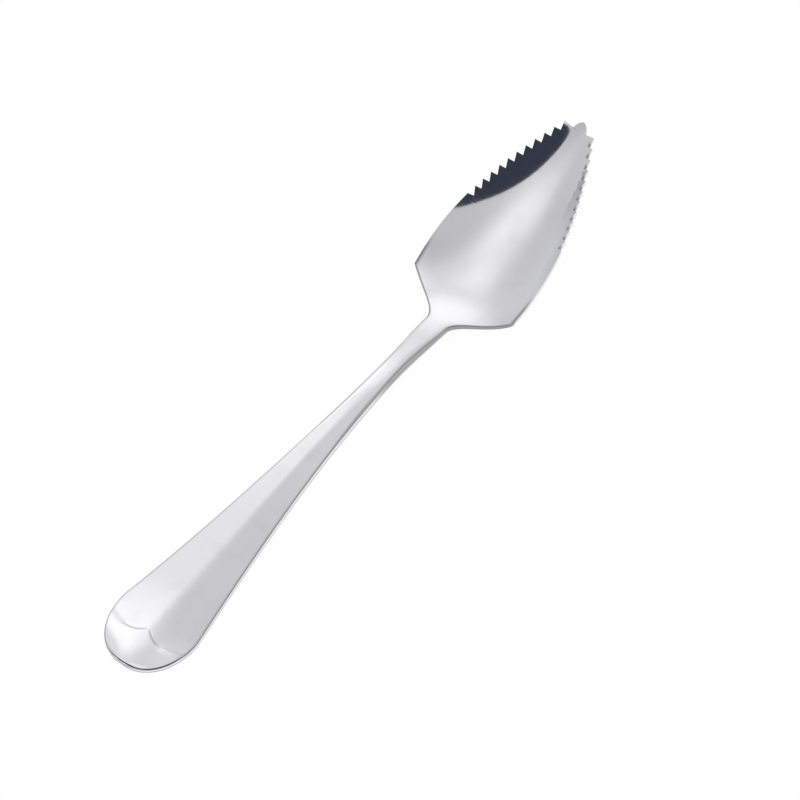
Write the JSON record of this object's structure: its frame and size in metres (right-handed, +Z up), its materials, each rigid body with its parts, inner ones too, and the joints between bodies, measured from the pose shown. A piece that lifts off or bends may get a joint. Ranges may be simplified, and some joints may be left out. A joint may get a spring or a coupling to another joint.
{
  "type": "grapefruit spoon",
  "caption": "Pressed steel fruit spoon with a pointed hollow bowl, saw teeth along both front sides, a slim shank and a flared ridged handle.",
  "frame": {"origin": "middle of the spoon's length and width, on the table that its belly and its handle's end rest on", "axes": "+X along the length from the handle's end to the point, +Y to the left side, +Z up out of the bowl"},
  "size_m": [0.155, 0.028, 0.0182],
  "materials": {
    "steel": "mirror polished stainless steel"
  },
  "bodies": {
    "root": {"bowl": "steel", "shank": "steel", "handle": "steel"}
  },
  "joints": []
}
